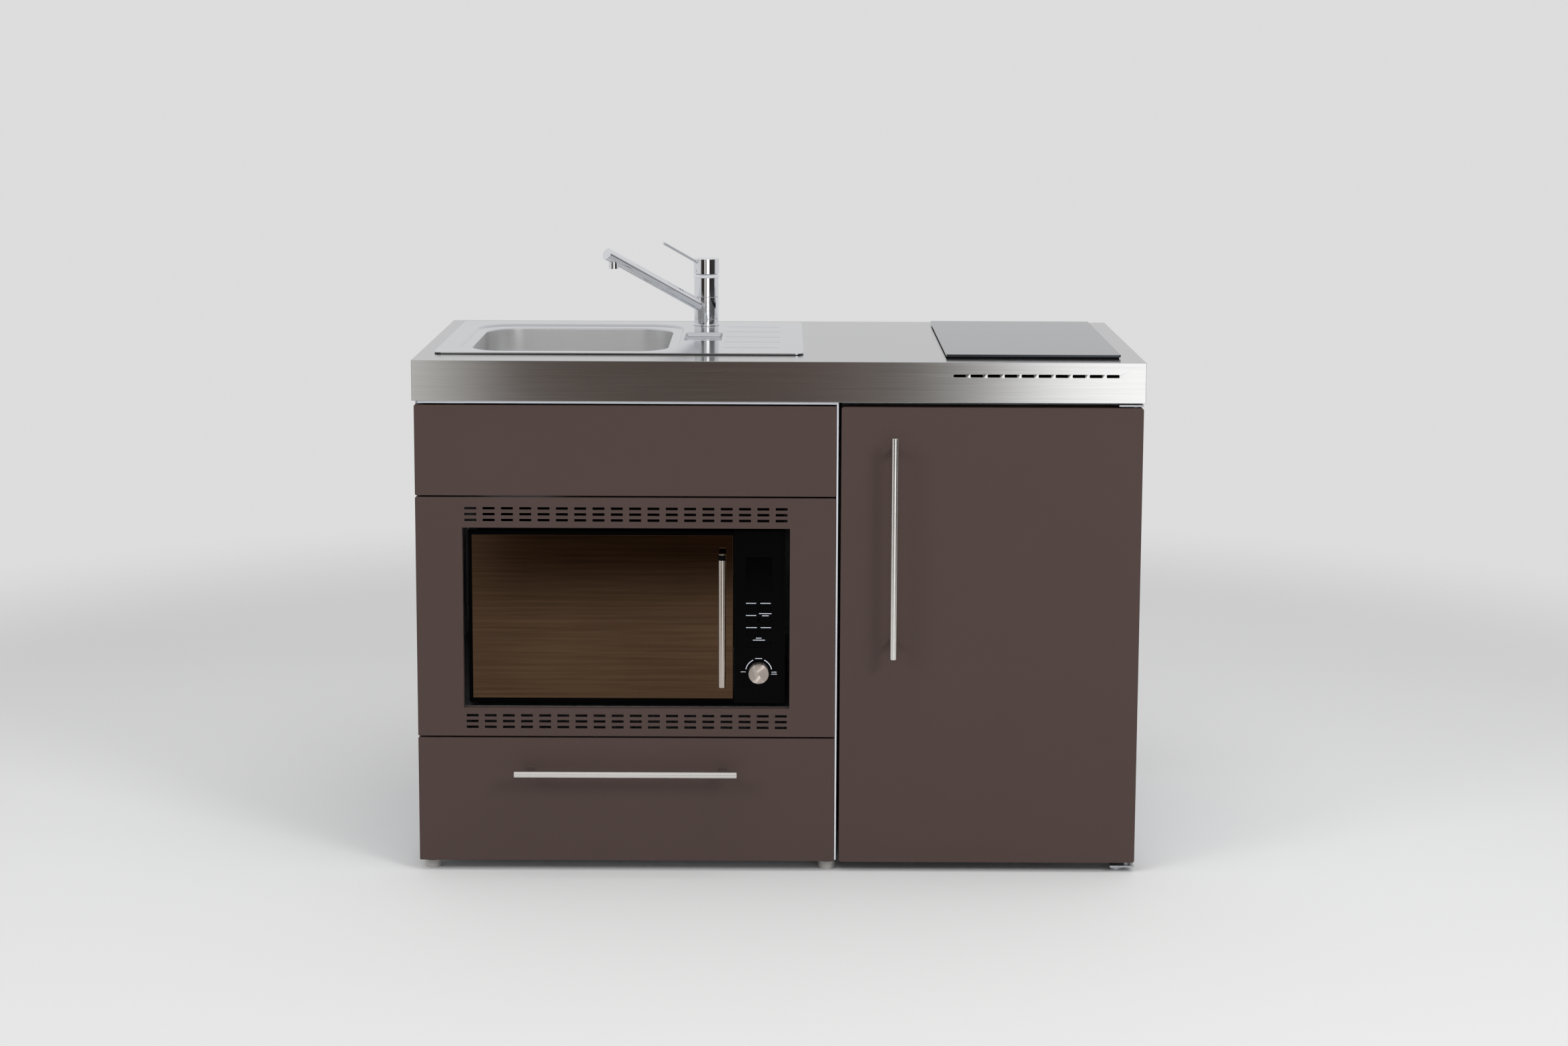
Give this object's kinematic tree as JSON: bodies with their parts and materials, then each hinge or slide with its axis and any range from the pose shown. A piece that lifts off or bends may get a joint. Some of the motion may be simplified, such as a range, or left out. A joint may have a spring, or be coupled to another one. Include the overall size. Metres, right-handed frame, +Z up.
{
  "type": "kitchenette unit",
  "caption": "Steel kitchenette: worktop with inset sink, mixer tap and hob over a cabinet with built-in microwave oven, drawer and refrigerator.",
  "frame": {"origin": "on the floor, in the middle of the unit's outline as seen from above, with its bar handles counted", "axes": "+X along the worktop to the user's right, +Y from the user towards the wall, +Z up"},
  "size_m": [1.2, 0.636, 1.0198],
  "materials": {
    "worktop_steel": "brushed lengthwise",
    "sink_steel": "satin pressed steel",
    "chrome_plate": "polished",
    "handle_steel": "satin brushed",
    "zinc_steel": "galvanised",
    "brown_paint": "satin powder coat",
    "light_paint": "satin powder coat",
    "coated_board": "light grey coated board",
    "core_board": "raw chipboard",
    "hob_ceramic": "polished black glass ceramic",
    "mirror_glass": "bronze mirror",
    "clear_glass": "clear",
    "black_gloss": "glossy black",
    "black_metal": "matt black",
    "grey_plastic": "moulded grey",
    "white_plastic": "moulded white",
    "black_rubber": "matt"
  },
  "bodies": {
    "unit": {"worktop": "worktop_steel", "worktop_core": "core_board", "sink": "sink_steel", "sink_seal": "black_rubber", "fixing_clips": "zinc_steel", "waste_fitting": "chrome_plate", "bottle_trap": "white_plastic", "hob_glass": "hob_ceramic", "hob_casing": "black_metal", "hob_heaters": "zinc_steel", "tap_body": "chrome_plate", "side_panel_left": "coated_board", "side_panel_right": "coated_board", "back_panel": "zinc_steel", "floor_panel": "coated_board", "top_rails": "light_paint", "oven_shelf": "zinc_steel", "sink_fascia": "brown_paint", "oven_surround": "brown_paint", "cabinet_feet": "grey_plastic", "drawer_rails": "zinc_steel", "oven_case": "black_metal", "oven_cavity": "light_paint", "oven_panel": "black_gloss", "oven_power_unit": "zinc_steel", "turntable_motor": "zinc_steel", "fridge_case": "light_paint", "fridge_liner": "white_plastic", "fridge_compressor": "black_metal", "fridge_hinges": "zinc_steel", "fridge_shelves": "clear_glass"},
    "spout": {"tap_spout": "chrome_plate", "tap_aerator": "chrome_plate"},
    "tap_turner": {"tap_stem": "chrome_plate"},
    "tap_handle": {"tap_cap": "chrome_plate", "tap_lever": "chrome_plate"},
    "basket": {"strainer_basket": "chrome_plate"},
    "drawer": {"drawer_front": "brown_paint", "drawer_box": "light_paint", "drawer_runners": "zinc_steel", "drawer_handle": "handle_steel"},
    "microwave_door": {"oven_door": "black_gloss", "oven_door_glass": "mirror_glass", "oven_handle": "handle_steel"},
    "microwave_knob": {"oven_knob": "handle_steel"},
    "glass_plate": {"turntable": "clear_glass"},
    "plate_rollers": {"roller_ring": "white_plastic"},
    "fan_rotor": {"cooling_fan": "white_plastic"},
    "cold_door": {"fridge_door": "brown_paint", "fridge_door_liner": "white_plastic", "fridge_gasket": "grey_plastic", "fridge_handle": "handle_steel"},
    "cold_dial": {"thermostat_knob": "white_plastic"},
    "key_1": {"oven_button_1": "black_gloss"},
    "key_2": {"oven_button_2": "black_gloss"},
    "key_3": {"oven_button_3": "black_gloss"},
    "key_4": {"oven_button_4": "black_gloss"},
    "key_5": {"oven_button_5": "black_gloss"},
    "key_6": {"oven_button_6": "black_gloss"},
    "key_7": {"oven_button_7": "black_gloss"}
  },
  "joints": [
    {"name": "spout_swivel", "type": "hinge", "parent": "unit", "child": "spout", "pos_m": [-0.132, 0.226, 0.863], "axis": [0, 0, 1], "range_deg": [-40, 100]},
    {"name": "tap_temperature", "type": "hinge", "parent": "unit", "child": "tap_turner", "pos_m": [-0.132, 0.226, 0.863], "axis": [0, 0, 1], "range_deg": [-45, 45]},
    {"name": "tap_flow", "type": "hinge", "parent": "tap_turner", "child": "tap_handle", "pos_m": [-0.132, 0.226, 0.94105], "axis": [-0.682, 0.7314, 0], "range_deg": [0, 25]},
    {"name": "strainer_lift", "type": "slide", "parent": "unit", "child": "basket", "axis": [0, 0, 1], "range_m": [0, 0.012]},
    {"name": "drawer_slide", "type": "slide", "parent": "unit", "child": "drawer", "axis": [0, -1, 0], "range_m": [0, 0.38]},
    {"name": "microwave_door_hinge", "type": "hinge", "parent": "unit", "child": "microwave_door", "pos_m": [-0.5042, -0.259, 0.4307], "axis": [0, 0, -1], "range_deg": [0, 100]},
    {"name": "microwave_knob_turn", "type": "hinge", "parent": "unit", "child": "microwave_knob", "pos_m": [-0.03145, -0.267, 0.3387], "axis": [0, 1, 0], "continuous": true},
    {"name": "plate_turn", "type": "hinge", "parent": "unit", "child": "glass_plate", "pos_m": [-0.3127, -0.081, 0.3177], "axis": [0, 0, 1], "continuous": true},
    {"name": "roller_turn", "type": "hinge", "parent": "unit", "child": "plate_rollers", "pos_m": [-0.3127, -0.081, 0.3102], "axis": [0, 0, 1], "continuous": true},
    {"name": "fan_turn", "type": "hinge", "parent": "unit", "child": "fan_rotor", "pos_m": [-0.0547, 0.122, 0.4697], "axis": [0, 1, 0], "continuous": true},
    {"name": "cold_door_hinge", "type": "hinge", "parent": "unit", "child": "cold_door", "pos_m": [0.5845, -0.267, 0.401], "axis": [0, 0, 1], "range_deg": [0, 110]},
    {"name": "cold_dial_turn", "type": "hinge", "parent": "unit", "child": "cold_dial", "pos_m": [0.556, -0.096, 0.707], "axis": [1, 0, 0], "range_deg": [0, 270]},
    {"name": "key_1_press", "type": "slide", "parent": "unit", "child": "key_1", "axis": [0, 1, 0], "range_m": [0, 0.0015], "stiffness_N_per_m": 300},
    {"name": "key_2_press", "type": "slide", "parent": "unit", "child": "key_2", "axis": [0, 1, 0], "range_m": [0, 0.0015], "stiffness_N_per_m": 300},
    {"name": "key_3_press", "type": "slide", "parent": "unit", "child": "key_3", "axis": [0, 1, 0], "range_m": [0, 0.0015], "stiffness_N_per_m": 300},
    {"name": "key_4_press", "type": "slide", "parent": "unit", "child": "key_4", "axis": [0, 1, 0], "range_m": [0, 0.0015], "stiffness_N_per_m": 300},
    {"name": "key_5_press", "type": "slide", "parent": "unit", "child": "key_5", "axis": [0, 1, 0], "range_m": [0, 0.0015], "stiffness_N_per_m": 300},
    {"name": "key_6_press", "type": "slide", "parent": "unit", "child": "key_6", "axis": [0, 1, 0], "range_m": [0, 0.0015], "stiffness_N_per_m": 300},
    {"name": "key_7_press", "type": "slide", "parent": "unit", "child": "key_7", "axis": [0, 1, 0], "range_m": [0, 0.0015], "stiffness_N_per_m": 300}
  ],
  "couplings": [
    {"joint": "roller_turn", "follows": "plate_turn", "ratio": 0.5}
  ]
}
